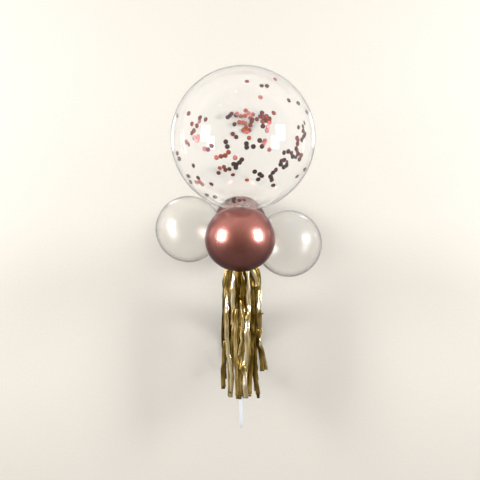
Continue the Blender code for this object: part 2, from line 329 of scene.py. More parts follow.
def metallisedFringe():
    # Metallised film, slit into strips and creased by folding: champagne gold facets with painted
    # light and shade, from cream where a facet would catch a light to dark olive where facets look
    # at each other.
    material, tree, place = newMaterial("slitChampagneFoil")
    # the painted light and shade of each facet, set on its points
    paintedLight = addNode(tree, "ShaderNodeAttribute", {"attribute_name": "paintedLight"})
    # crinkles 4 mm across the strip and 18 mm along it
    stretch = addNode(tree, "ShaderNodeMapping", {"Scale": (1 / 0.004, 1 / 0.018, 1 / 0.004)},
                      {"Vector": place})
    crinkle = addNode(tree, "ShaderNodeTexNoise", {"Scale": 1.0, "Detail": 3.0, "Roughness": 0.6},
                      {"Vector": stretch})
    vary = addNode(tree, "ShaderNodeMath", {"operation": "MULTIPLY_ADD", 1: 0.5, 2: -0.25},
                   {0: crinkle})
    mixed = addNode(tree, "ShaderNodeMath", {"operation": "ADD", "use_clamp": True},
                    {0: paintedLight.outputs["Fac"], 1: vary})
    colour = rampStops(addNode(tree, "ShaderNodeValToRGB", None, {"Fac": mixed}),
                       [(0.0, "#58400a"), (0.3, "#b8984e"), (0.65, "#f2d79a"), (1.0, "#fff1ce")])
    bump = addNode(tree, "ShaderNodeBump", {"Strength": 0.45, "Distance": 0.0006},
                   {"Height": crinkle})
    shader = addNode(tree, "ShaderNodeBsdfPrincipled", {"Metallic": 1.0, "Roughness": 0.27},
                     {"Base Color": colour, "Normal": bump})
    addNode(tree, "ShaderNodeOutputMaterial", None, {"Surface": shader})
    return material


def studioPaper():
    # Matt background paper, warm white, with a barely visible tooth 4 mm apart.
    material, tree, place = newMaterial("warmWhitePaper")
    tooth = addNode(tree, "ShaderNodeTexNoise", {"Scale": 1 / 0.004, "Detail": 2.0},
                    {"Vector": place})
    colour = rampStops(addNode(tree, "ShaderNodeValToRGB", None, {"Fac": tooth}),
                       [(0.2, "#e5ded3"), (0.8, "#e9e3d9")])
    shader = addNode(tree, "ShaderNodeBsdfPrincipled",
                     {"Roughness": 0.8, "Specular IOR Level": 0.2}, {"Base Color": colour})
    addNode(tree, "ShaderNodeOutputMaterial", None, {"Surface": shader})
    return material


finishes = {
    "film": stretchedFilm(),
    "confetti": confettiFoil(),
    "clear": clearLatex(),
    "chrome": chromeLatex(),
    "stick": extrudedPolypropylene(),
    "cup": mouldedPolystyrene(),
    "fringe": metallisedFringe(),
    "paper": studioPaper(),
}
print("materials made")

# camera: straight above the object, as far off as the photograph looks

camera = {
    "distance": 2.0,
    "frameWidth": 0.864,
    "imageSize": 480,
    "imageMiddle": 240,
    "bubbleX": 243,
    "bubbleY": 138,
    "lean": 0.0076,  # of the stick in the photograph, in radians
    "sensorWidth": 36,
    "farthest": 50,
}
pixelSize = camera["frameWidth"] / camera["imageSize"]
focalPixels = camera["distance"] / pixelSize
imageRight = Vector((math.cos(camera["lean"]), math.sin(camera["lean"]), 0))
imageUp = Vector((-math.sin(camera["lean"]), math.cos(camera["lean"]), 0))
bubbleCentre = Vector((0, 0, stickHeight))
cameraPlace = (
    bubbleCentre
    + imageRight * (camera["imageMiddle"] - camera["bubbleX"]) * pixelSize
    + imageUp * (camera["bubbleY"] - camera["imageMiddle"]) * pixelSize
    + Vector((0, 0, camera["distance"]))
)
cameraData = bpy.data.cameras.new("mainCamera")
cameraData.sensor_width = camera["sensorWidth"]
cameraData.lens = camera["sensorWidth"] * focalPixels / camera["imageSize"]
cameraData.clip_end = camera["farthest"]
cameraObject = bpy.data.objects.new("mainCamera", cameraData)
cameraObject.location = cameraPlace
cameraObject.rotation_euler = (0, 0, camera["lean"])
bpy.context.scene.collection.objects.link(cameraObject)
bpy.context.scene.camera = cameraObject


def pixelRay(x, y):
    # the direction in which the camera sees a pixel of the photograph
    across = (x - camera["imageMiddle"]) / focalPixels
    down = (y - camera["imageMiddle"]) / focalPixels
    return (imageRight * across - imageUp * down + Vector((0, 0, -1))).normalized()


def sightline(x, y, radius):
    # the line of sight through a pixel, and where it goes into and out of a sphere round the
    # bubble's centre; where it misses, both are the sphere's point nearest to it
    ray = pixelRay(x, y)
    toCentre = bubbleCentre - cameraPlace
    along = toCentre.dot(ray)
    miss = toCentre.length_squared - along**2
    if miss > radius**2:
        nearest = cameraPlace + ray * along
        place = bubbleCentre + (nearest - bubbleCentre).normalized() * radius
        return ray, place, place
    half = math.sqrt(radius**2 - miss)
    return ray, cameraPlace + ray * (along - half), cameraPlace + ray * (along + half)


# the small balloons and the bubble

small = {
    "radius": 0.0595,
    "neckShort": 0.006,  # how far before the tie the neck ends
    "neckRadius": 0.0036,
    "neckFlare": 0.0145,
    "neckEase": 0.0075,
    "wall": 0.0003,
    "pleats": 9,
    "pleatDepth": 0.10,
    "rings": 84,
    "around": 96,
    "seed": 5,
}
tiePoint = Vector((0, layout["tieAlong"], stickHeight))
smallCentres = {
    "left": Vector((-0.09622, -0.164566, 0.132452)),
    "right": Vector((0.083215, -0.189266, 0.137452)),
    "front": Vector((-0.004, -0.182566, 0.218452)),
    "back": Vector((-0.004, -0.159566, 0.057578)),
}
bubble = {
    "radius": 0.130,
    "wall": 0.0003,
    "neckRadius": 0.0052,
    "neckFlare": 0.020,
    "neckEase": 0.009,
    "neckEnd": 0.145,
    "pleats": 17,
    "pleatDepth": 0.13,
    "rings": 120,
    "around": 160,
    "seed": 3,
}
# how each of them draws in to its neck: shares of its radius, but for the ones that say more
drawIn = {
    "roundRings": 0.8,  # of all its rings
    "roundTurn": 170,  # in degrees, from the far end
    "neckFrom": 0.5,
    "neckFull": 0.9,
    "pleatsFrom": 0.80,
    "pleatsFull": 1.03,
    "pleatTwist": 60,  # radians for each metre
    "smallPleats": 0.5,  # of the large ones' depth
}
# how they press on each other and on the floor
contact = {
    "gap": 0.0002,
    "softOnFloor": 0.0005,
    "softOnBubble": 0.0009,
}


def balloonRings(centre, towards, reach, sizes, planes, seed):
    # a round skin that draws in to a neck and runs along it for reach, from the centre
    axis = towards.normalized()
    side = axis.orthogonal().normalized()
    other = axis.cross(side)
    radius, count, around = sizes["radius"], sizes["rings"], sizes["around"]
    roundRings = int(count * drawIn["roundRings"])
    stations = []
    lastTurn = math.radians(drawIn["roundTurn"])
    for i in range(1, roundRings + 1):
        turn = lastTurn * i / roundRings
        stations.append((-radius * math.cos(turn), radius * math.sin(turn)))
    start = stations[-1][0]
    neckRings = count - roundRings
    for i in range(1, neckRings + 1):
        along = start + (reach - start) * i / neckRings
        stations.append((along, math.sqrt(max(radius**2 - along**2, 0))))
    wander = random.Random(seed)
    phases = [wander.uniform(0, math.tau) for _ in range(2)]
    neckFrom, neckFull = radius * drawIn["neckFrom"], radius * drawIn["neckFull"]
    pleatsFrom, pleatsFull = radius * drawIn["pleatsFrom"], radius * drawIn["pleatsFull"]
    rings = []
    for along, girth in stations:
        past = (along - neckFull) / sizes["neckEase"]
        neck = sizes["neckRadius"] + sizes["neckFlare"] * math.exp(-max(past, 0.0))
        neck = 0.0 if along < 0 else neck * smoothStep(neckFrom, neckFull, along)
        wide = (girth**4 + neck**4) ** 0.25
        gather = smoothStep(pleatsFrom, pleatsFull, along)
        ring = []
        for j in range(around):
            turn = math.tau * j / around
            twist = drawIn["pleatTwist"] * (along - radius)
            fold = math.cos(sizes["pleats"] * turn + phases[0] + twist)
            fold += drawIn["smallPleats"] * math.cos((sizes["pleats"] * 2 - 5) * turn + phases[1])
            out = wide * (1 + sizes["pleatDepth"] * gather * fold)
            ring.append(pressed(roundPoint(centre + axis * along, side, other, turn, out), planes))
        rings.append(ring)
    tip = pressed(centre - axis * radius, planes)
    return rings, tip


def balloonSkin(centre, towards, reach, sizes, planes, seed, closed=True):
    # the rings as one skin, with a cap at its far end and, if closed, one at its neck
    rings, tip = balloonRings(centre, towards, reach, sizes, planes, seed)
    points, faces = skinRings(rings, capEnd=closed)
    points.append(tip)
    count = len(rings[0])
    faces += [(len(points) - 1, (j + 1) % count, j) for j in range(count)]
    return points, faces


def meetingPlane(centreA, radiusA, centreB, radiusB, soft):
    # the plane where two balloons press on each other, with its normal out of the first one
    span = centreB - centreA
    share = (span.length**2 + radiusA**2 - radiusB**2) / (2 * span.length)
    along = span.normalized()
    near, far = (centreA + along * (share + gap) for gap in (-contact["gap"], contact["gap"]))
    return (near, along, soft), (far, -along, soft)


floorPlane = (Vector((0, 0, contact["gap"])), Vector((0, 0, -1)), contact["softOnFloor"])
bubbleMeets, backMeets = meetingPlane(
    bubbleCentre, bubble["radius"], smallCentres["back"], small["radius"],
    contact["softOnBubble"])

# the bubble: a thin film with a gathered neck in the cup

points, faces = balloonSkin(
    bubbleCentre, Vector((0, -1, 0)), bubble["neckEnd"], bubble, [floorPlane, bubbleMeets],
    bubble["seed"], closed=False)
bubbleFilm = addPiece("bubbleFilm", points, faces, finishes["film"], ["bubble_balloon"])
faceOut(bubbleFilm)
thicken(bubbleFilm, "filmThickness", bubble["wall"], -1)
letLightThrough(bubbleFilm)
print("bubble film made")

# confetti that clings to the inside of the film

confetti = {
    "discRadius": 0.0043,
    "thickness": 0.00012,
    "sides": 16,
    "offWall": 0.0006,
    "lift": 0.0006,
    "tilt": 0.12,
    "faceUp": 0.8,
    "standsFrom": 0.1,  # the tilt past which a disc stands off the film
    "bend": 0.0005,
    "flatShare": 0.62,  # of its radius, inside its curled edge
    # painted shade at each disc's edge, less on a bright disc, a random spread of its painted
    # light, and a painted highlight at its middle
    "edgeShade": 0.24,
    "brightEdge": 0.6,
    "paintedLightSpread": 0.07,
    "paintedHubHighlight": 0.05,
    "seed": 21,
}
# each cluster: the wall that it clings to, the painted light and shade of its discs, and where
# they show in the photograph, in its pixels
confettiClusters = {
    "leftChain": ("front", 0.26, [(199.8, 117.6), (196.7, 125.8), (191.8, 123.9), (205.3, 119.3),
                                  (193.9, 130.6), (191.8, 133)]),
    "leftChainPink": ("front", 1.0, [(194.2, 137.9), (199.1, 121.3), (197, 140.3),
                                     (198.2, 136.7)]),
    "leftEdgePair": ("front", 0.96, [(186.4, 142.1), (188.5, 144.5)]),
    "underLeftWindow": ("front", 0.97, [(204.3, 148.8), (207.6, 149.4), (211.6, 145.8)]),
    "leftRim": ("front", 0.15, [(177, 115.5), (188.2, 113.3), (176.7, 153.4), (178.2, 159.1)]),
    "lowLeftRim": ("front", 0.12, [(193, 166), (187.8, 176.4), (190.2, 182.5), (198.1, 177.9)]),
    "lowLeftKnot": ("front", 0.8, [(196.1, 182.7), (199.7, 182.1), (202.1, 184.5)]),
    "lowLeftSingles": ("front", 0.35, [(211.2, 184.3), (206.4, 195.8), (214.8, 197.5)]),
    "topLeftDark": ("back", 0.18, [(227.6, 117.3), (231.5, 113.6), (229.8, 115.6),
                                   (235.8, 115.2), (234.5, 124.2)]),
    "topMiddle": ("back", 0.6, [(245.8, 110.4), (240.9, 116.1), (245.2, 115.5), (250.4, 117.9)]),
    "topMiddlePink": ("back", 0.9, [(248.8, 113), (253, 114.2), (237, 113.6)]),
    "topMiddleTail": ("back", 0.4, [(251.6, 121.5), (250.4, 125.2), (256.9, 119.1),
                                    (252.4, 119.4)]),
    "copper": ("back", 0.64, [(239.1, 122.1), (242.7, 122.5), (245.2, 123.3), (245.8, 127.6),
                              (243.3, 130.4), (246.7, 131.8), (249.2, 130)]),
    "rightTop": ("front", 0.3, [(262.1, 112.8), (260.5, 116.4), (263.3, 117.3), (266.6, 116.1),
                                 (269.4, 118.5), (262.7, 121.5), (266.4, 120.3), (269.4, 122.1),
                                 (273.9, 112.8)]),
    "rightTopDark": ("front", 0.08, [(263.1, 126.1)]),
    "besideRightWindow": ("front", 1.0, [(268.2, 127), (267, 130.6)]),
    "middlePair": ("back", 0.3, [(232.8, 133.9), (236.2, 137)]),
    "middleSingle": ("back", 0.5, [(249, 137.9)]),
    "middleDark": ("front", 0.03, [(225.8, 141.8), (227.3, 146.6), (246.4, 143.7), (246.7, 147.3),
                                   (253.4, 146.6), (259.7, 140.5)]),
    "rightMiddlePink": ("front", 0.9, [(265.2, 140.9), (263.9, 143.3), (269.6, 149.6)]),
    "rightMiddle": ("front", 0.35, [(262.1, 146.4)]),
    "pinkChain": ("front", 0.68, [(228.5, 152.2), (225.2, 155.5), (220.9, 156.4),
                                  (216.4, 157.5), (235.1, 157.9)]),
    "lowMiddleDark": ("front", 0.04, [(241.8, 159.7), (239.5, 162.7), (233.6, 164.2),
                                      (236.3, 164.6), (235.8, 167.6)]),
    "lowLeft": ("back", 0.22, [(223.9, 167), (225.4, 170), (229.4, 169.2), (218.5, 173),
                               (232.8, 175.1)]),
    "lowCopper": ("back", 0.58, [(219.7, 168.2), (247, 180.3)]),
    "lowRight": ("front", 0.1, [(254.8, 171.8), (259.7, 174.2), (261.8, 176.1), (258.2, 179.5)]),
    "lowRightChain": ("front", 0.1, [(276.1, 170), (273, 172.7), (270.4, 176.1), (271.8, 180.3),
                                     (271.2, 178), (273.6, 186)]),
    "rosette": ("front", 0.05, [(284.3, 160.1), (287.3, 162.7), (286.4, 165.8), (283.9, 167.3),
                                (280.9, 164.5), (281.5, 160.9)]),
    "darkKnot": ("front", 0.02, [(284.3, 152.7), (288.8, 151.6), (291.6, 153.2), (293.1, 156.7),
                                 (296.2, 157), (298.2, 154), (297.3, 150.6), (296.2, 148.6)]),
    "rightEdgePair": ("front", 0.08, [(301.5, 155.5), (299.9, 159.5)]),
    "rightColumnTop": ("front", 0.05, [(304.5, 122.7), (303, 126.6)]),
    "rightColumnBehind": ("back", 0.05, [(298.8, 127.2)]),
    "rightColumn": ("front", 0.05, [(303.3, 131), (304.9, 133.6), (303.9, 136.7),
                                    (301.8, 139.9)]),
    "rightColumnLow": ("front", 0.2, [(297.3, 138.1), (298.1, 140.3), (297.6, 143.9)]),
    "rightRim": ("front", 0.15, [(289, 100.3), (298.7, 103), (307.2, 111.8), (297.5, 176.7),
                                 (305.8, 170)]),
    "highPink": ("back", 0.85, [(247, 81.2), (275.5, 78.5)]),
    "highPair": ("back", 0.3, [(261.8, 85.5), (267.2, 85.4)]),
    "upperRight": ("front", 0.7, [(260.5, 97.3)]),
    "overBackBalloon": ("front", 0.12, [(233.6, 200.2), (233.8, 202.4)]),
    "overBackCopper": ("front", 0.6, [(239.4, 200.8), (243.2, 200.3)]),
}


def confettiPlace(x, y, wall):
    # where the photograph's line of sight meets the inside of the film
    _, front, back = sightline(x, y, bubble["radius"] - bubble["wall"] - confetti["offWall"])
    return front if wall == "front" else back


def confettiDisc(centre, wander):
    # a punched disc, slightly bent, that lies near the film
    outward = (centre - bubbleCentre).normalized()
    lean = Vector([wander.gauss(0, 1) for _ in range(3)]) * confetti["tilt"]
    # at the bubble's edge the discs stand off the film a little and still show their faces
    up = Vector((0, 0, math.copysign((1 - abs(outward.z)) ** 2, outward.z)))
    normal = (outward + lean + up * confetti["faceUp"]).normalized()
    tilted = math.sqrt(max(1 - normal.dot(outward) ** 2, 0.0))
    side = normal.orthogonal().normalized()
    other = normal.cross(side)
    off = confetti["discRadius"] * max(tilted - confetti["standsFrom"], 0.0)
    middle = centre - outward * (wander.uniform(0, confetti["lift"]) + off)
    bend = wander.uniform(-confetti["bend"], confetti["bend"])
    count, flatShare = confetti["sides"], confetti["flatShare"]
    rings = []
    for share, lift in ((flatShare, 1), (1.0, 1), (1.0, -1), (flatShare, -1)):
        ring = []
        for j in range(count):
            turn = math.tau * j / count
            across, over = share * math.cos(turn), share * math.sin(turn)
            rise = bend * across * across + lift * confetti["thickness"] / 2
            ring.append(middle + (side * across + other * over) * confetti["discRadius"]
                        + normal * rise)
        rings.append(ring)
    points, faces = skinRings(rings)
    for first, lift in ((0, 1), (3 * count, -1)):
        points.append(middle + normal * lift * confetti["thickness"] / 2)
        hub = len(points) - 1
        for j in range(count):
            a, b = first + j, first + (j + 1) % count
            faces.append((hub, a, b) if lift > 0 else (hub, b, a))
    return points, faces


def confettiPieces():
    wander = random.Random(confetti["seed"])
    shapes, paintedLights = [], []
    for wall, paintedLight, spots in confettiClusters.values():
        for x, y in spots:
            shapes.append(confettiDisc(confettiPlace(x, y, wall), wander))
            own = paintedLight + wander.uniform(-confetti["paintedLightSpread"], confetti["paintedLightSpread"])
            # painted shade at a disc's edge, where it curls away, least on a bright disc, and a
            # painted highlight at its middle
            dark = confetti["edgeShade"] * (1 - confetti["brightEdge"] * paintedLight)
            for shade in (0, dark, dark, 0):
                paintedLights.extend([own - shade] * confetti["sides"])
            paintedLights.extend([own + confetti["paintedHubHighlight"]] * 2)
    return joinShapes(shapes), paintedLights, len(shapes)


def storePaintedLight(piece, paintedLights):
    # the painted light and shade at each point, for its material
    layer = piece.data.attributes.new("paintedLight", "FLOAT", "POINT")
    for item, paintedLight in zip(layer.data, paintedLights):
        item.value = paintedLight


(points, faces), paintedLights, discCount = confettiPieces()
confettiPiece = addPiece("confettiDiscs", points, faces, finishes["confetti"])
faceOut(confettiPiece)
storePaintedLight(confettiPiece, paintedLights)
print("confetti made:", discCount, "discs")

# the four small balloons, each with its neck at the tie

# how their neighbours squeeze them: the share of their width and of their length that is left, and
# how far they bulge where they meet the bubble
squeezes = {
    "front": (1.02, 0.94, 0.20),
    "back": (0.85, 1.0, 0.0),
}


def squeezed(point, centre, wide, long, bulge):
    # bulges most at the end that meets the bubble
    across, along = point.x - centre.x, point.y - centre.y
    share = max(along / small["radius"], 0.0)
    return Vector((centre.x + across * wide * (1 + bulge * share**4),
                   centre.y + along * long, point.z))


for place, centre in smallCentres.items():
    kind = "clear" if place in ("left", "right") else "chrome"
    planes = [floorPlane, backMeets] if place == "back" else []
    towards = tiePoint - centre
    points, faces = balloonSkin(centre, towards, towards.length - small["neckShort"], small,
                                planes, small["seed"] + len(place))
    if place in squeezes:
        points = [squeezed(p, centre, *squeezes[place]) for p in points]
    piece = addPiece(place + "Balloon", points, faces, finishes[kind],
                     [kind + "_balloon_" + place])
    faceOut(piece)
    if kind == "clear":
        thicken(piece, "latexThickness", small["wall"], -1)
        letLightThrough(piece)
print("small balloons made")


def tube(path, radius, sides=14, closed=False):
    # a round tube through points; radius is a number or one number a point
    count = len(path)
    radii = radius if isinstance(radius, list) else [radius] * count
    rings = []
    side = None
    for i, point in enumerate(path):
        if closed:
            ahead, behind = path[(i + 1) % count], path[i - 1]
        else:
            ahead, behind = path[min(i + 1, count - 1)], path[max(i - 1, 0)]
        along = (ahead - behind).normalized()
        side = along.orthogonal() if side is None else side - along * side.dot(along)
        side.normalize()
        other = along.cross(side)
        rings.append([roundPoint(point, side, other, math.tau * j / sides, radii[i])
                      for j in range(sides)])
    if closed:
        rings.append(rings[0])
    return skinRings(rings, capStart=not closed, capEnd=not closed)


# the tie: the four necks wound round the stick, with their rolled lips

tie = {
    "coilRadius": 0.0056,
    "coilWave": 0.0007,
    "coilSteps": 46,
    "strandRadius": 0.0019,
    "thinnest": 0.9,
    "thickening": 0.22,
    "turns": 2.2,
    "lipReach": 0.010,
    "lipRadius": 0.0055,
    "lipFlat": 0.55,
    "lipWave": 0.0012,
    "lipRoll": 0.0009,
    "lipAround": 28,
    "mouthRings": 8,
    "mouthWide": 0.0016,
    "mouthFlat": 0.0014,
    "mouthFlare": 1.6,
    "creaseDepth": 0.12,
    "creases": 7,
}
# each pair of necks: its finish, where its coil starts and how far it runs along the stick, and
# for each lip its turn round the stick, how far along it is and its lean
tiedNecks = {
    "tiedClearNecks": ("clear", 0.3, 0.0042, [(0.75, -0.004, -0.9), (2.5, -0.004, -0.7)]),
    "tiedChromeNecks": ("chrome", 2.4, -0.0038, [(3.9, -0.005, -0.8), (5.4, -0.004, -0.9)]),
}


def tieCoil(start, drop):
    path, radii = [], []
    for i in range(tie["coilSteps"] + 1):
        share = i / tie["coilSteps"]
        turn = start + math.tau * tie["turns"] * share
        out = tie["coilRadius"] + tie["coilWave"] * math.sin(3 * turn + start)
        along = layout["tieAlong"] + drop * (share - 0.5)
        path.append(Vector((out * math.cos(turn), along, stickHeight + out * math.sin(turn))))
        swell = tie["thickening"] * math.sin(9 * share * math.tau + start)
        radii.append(tie["strandRadius"] * (tie["thinnest"] + swell))
    return tube(path, radii, 12)


def neckLip(turn, along, lean):
    # the rolled edge of a balloon's mouth, standing off the tie, with the flat neck that it ends
    outward = Vector((math.cos(turn), 0, math.sin(turn)))
    direction = (outward + Vector((0, lean, 0))).normalized()
    root = Vector((0, along, stickHeight)) + outward * tie["coilRadius"]
    middle = root + direction * tie["lipReach"]
    side = direction.orthogonal().normalized()
    other = direction.cross(side)
    angles = [math.tau * i / tie["lipAround"] for i in range(tie["lipAround"])]
    lipWide, lipFlat = tie["lipRadius"], tie["lipRadius"] * tie["lipFlat"]
    loop = [middle + side * math.cos(angle) * lipWide + other * math.sin(angle) * lipFlat
            + direction * tie["lipWave"] * math.cos(2 * angle) for angle in angles]
    rings = []
    for i in range(tie["mouthRings"] + 1):
        share = i / tie["mouthRings"]
        grown = share ** tie["mouthFlare"]
        wide = tie["mouthWide"] + (lipWide - tie["mouthWide"]) * grown
        flat = tie["mouthFlat"] + (lipFlat - tie["mouthFlat"]) * grown
        ring = []
        for angle in angles:
            crease = 1 + tie["creaseDepth"] * (1 - share) * math.cos(tie["creases"] * angle)
            ring.append(root + (middle - root) * share
                        + side * math.cos(angle) * wide * crease
                        + other * math.sin(angle) * flat * crease)
        rings.append(ring)
    return joinShapes([tube(loop, tie["lipRoll"], 8, closed=True), skinRings(rings)])


for name, (kind, start, drop, lips) in tiedNecks.items():
    points, faces = joinShapes([tieCoil(start, drop)] + [
        neckLip(turn, layout["tieAlong"] + off, lean) for turn, off, lean in lips])
    addPiece(name, points, faces, finishes[kind], ["neck_tie"] if kind == "clear" else ())
print("tie made")

# the cup and the stick

cup = {
    "rimRadius": 0.015,
    "wall": 0.0012,
    "depth": 0.019,
    "bowlRadii": (0.0040, 0.0062, 0.0098),  # inside, from the floor up
    "outerRadii": (0.0110, 0.0074),  # outside, from the rim down
    "bowlRise": 0.0068,
    "stemRadius": 0.005,
    "stemLength": 0.016,
    "socketDepth": 0.012,
    "socketPlay": 0.0003,
    "edge": 0.0003,
    "centre": 0.0002,
    "around": 72,
}
stick = {
    "radius": 0.003,
    "wall": 0.0008,
    "round": 0.0002,
    "rings": 24,
    "around": 40,
    "weld": 0.00001,
}
sharpEdge = math.radians(50)


def turnedRings(profile, around):
    # turns (radius, along) about the stick's axis
    rings = []
    for radius, along in profile:
        rings.append([
            Vector((radius * math.cos(math.tau * j / around), along,
                    stickHeight + radius * math.sin(math.tau * j / around)))
            for j in range(around)])
    return rings


rim, rimRadius, wall, edge = layout["cupRim"], cup["rimRadius"], cup["wall"], cup["edge"]
bowlFloor = rim - cup["depth"]
stemRadius, stemEnd = cup["stemRadius"], bowlFloor - cup["stemLength"]
bore, boreEnd = stick["radius"] + cup["socketPlay"], stemEnd + cup["socketDepth"]
footRadius, heelRadius, bellyRadius = cup["bowlRadii"]
bellyOuter, heelOuter = cup["outerRadii"]
cupProfile = [
    (cup["centre"], bowlFloor), (footRadius, bowlFloor), (heelRadius, bowlFloor + wall / 2),
    (bellyRadius, bowlFloor + cup["bowlRise"]), (rimRadius - wall, rim - wall),
    (rimRadius - wall, rim - edge), (rimRadius - wall + edge, rim), (rimRadius - edge, rim),
    (rimRadius, rim - edge), (rimRadius, rim - wall),
    (bellyOuter, bowlFloor + cup["bowlRise"] - wall / 3), (heelOuter, bowlFloor - wall),
    (stemRadius + wall / 2, bowlFloor - 1.7 * wall), (stemRadius, bowlFloor - 2.6 * wall),
    (stemRadius, stemEnd + edge), (stemRadius - edge, stemEnd), (bore + edge, stemEnd),
    (bore, stemEnd + edge), (bore, boreEnd - edge), (cup["centre"], boreEnd),
]
points, faces = skinRings(turnedRings(cupProfile, cup["around"]), capStart=True, capEnd=True)
cupPiece = addPiece("balloonCup", points, faces, finishes["cup"], ["balloon_cup"])
faceOut(cupPiece)
cupPiece.data.set_sharp_from_angle(angle=sharpEdge)

outer, inner, soft = stick["radius"], stick["radius"] - stick["wall"], stick["round"]
top, end = layout["stickTop"], layout["stickEnd"]
stickProfile = [(outer - soft, top), (outer, top - soft)]
stickProfile += [(outer, top + (end - top) * i / stick["rings"]) for i in range(1, stick["rings"])]
stickProfile += [(outer, end + soft), (outer - soft, end), (inner + soft, end), (inner, end + soft),
                 (inner, top - soft), (inner + soft, top), (outer - soft, top)]
points, faces = skinRings(turnedRings(stickProfile, stick["around"]))
stickPiece = addPiece("stickTube", points, faces, finishes["stick"], ["stick"])
faceOut(stickPiece, stick["weld"])
stickPiece.data.set_sharp_from_angle(angle=sharpEdge)
print("cup and stick made")

# the tassel: creased foil strips round the stick, under a bound head

tassel = {
    "stripLength": 0.258,
    "lengthSpread": 0.008,
    "leftShorter": 0.015,
    "rightLean": 0.10,
    "stepLength": 0.004,
    "frontStep": 0.6,  # of stepLength
    "tuck": 0.006,  # how far a strip starts inside the head
    "overlap": 0.004,  # how far one that starts under another comes in
    "rootRadius": 0.0066,
    "rootSpread": 0.030,
    "rootWidth": 0.25,
    "flare": 0.014,
    "frontFlare": 0.010,
    "firstLayer": 0.0004,
    "layerRise": 0.00028,
    "topFill": 15,
    "besideFill": 7,
    "belowFill": 26,
    "fillWidths": (0.0055, 0.008),
    "fillCreases": (0.012, 0.045),
    "fillTurn": 20,
    "foilThickness": 0.00012,
    "climb": 0.2,
    # the painted light from which a patch climbs to catch a softbox
    "brightPaintedLight": 0.85,
    "foldHeight": 0.0011,
    "creaseAngle": 14,
    # the head's painted light and shade
    "headPaintedLight": 0.45,
    "seed": 14,
}
# the top of the fringe lies over the stick in the middle and hangs more and more at its sides
drape = {
    "overStick": 0.0042,
    "reach": 0.032,
    "furthest": 1.3,
    "steepness": 1.6,
    "hangsAtHead": 0.003,
    "hangsAtEnd": 0.011,
    "settlesIn": 0.24,
}
# near the end the strips part a little and show the stick
parting = {
    "along": 0.183,
    "long": 0.017,
    "aside": 0.0026,
    "wide": 0.007,
    "push": 0.0040,
}
# towards their ends the strips gather into these lanes, in mm across from the stick
laneMiddles = [-31, -19.5, -6.5, -2, 5, 14, 24]
laneStart, laneEnd = 0.135, 0.195
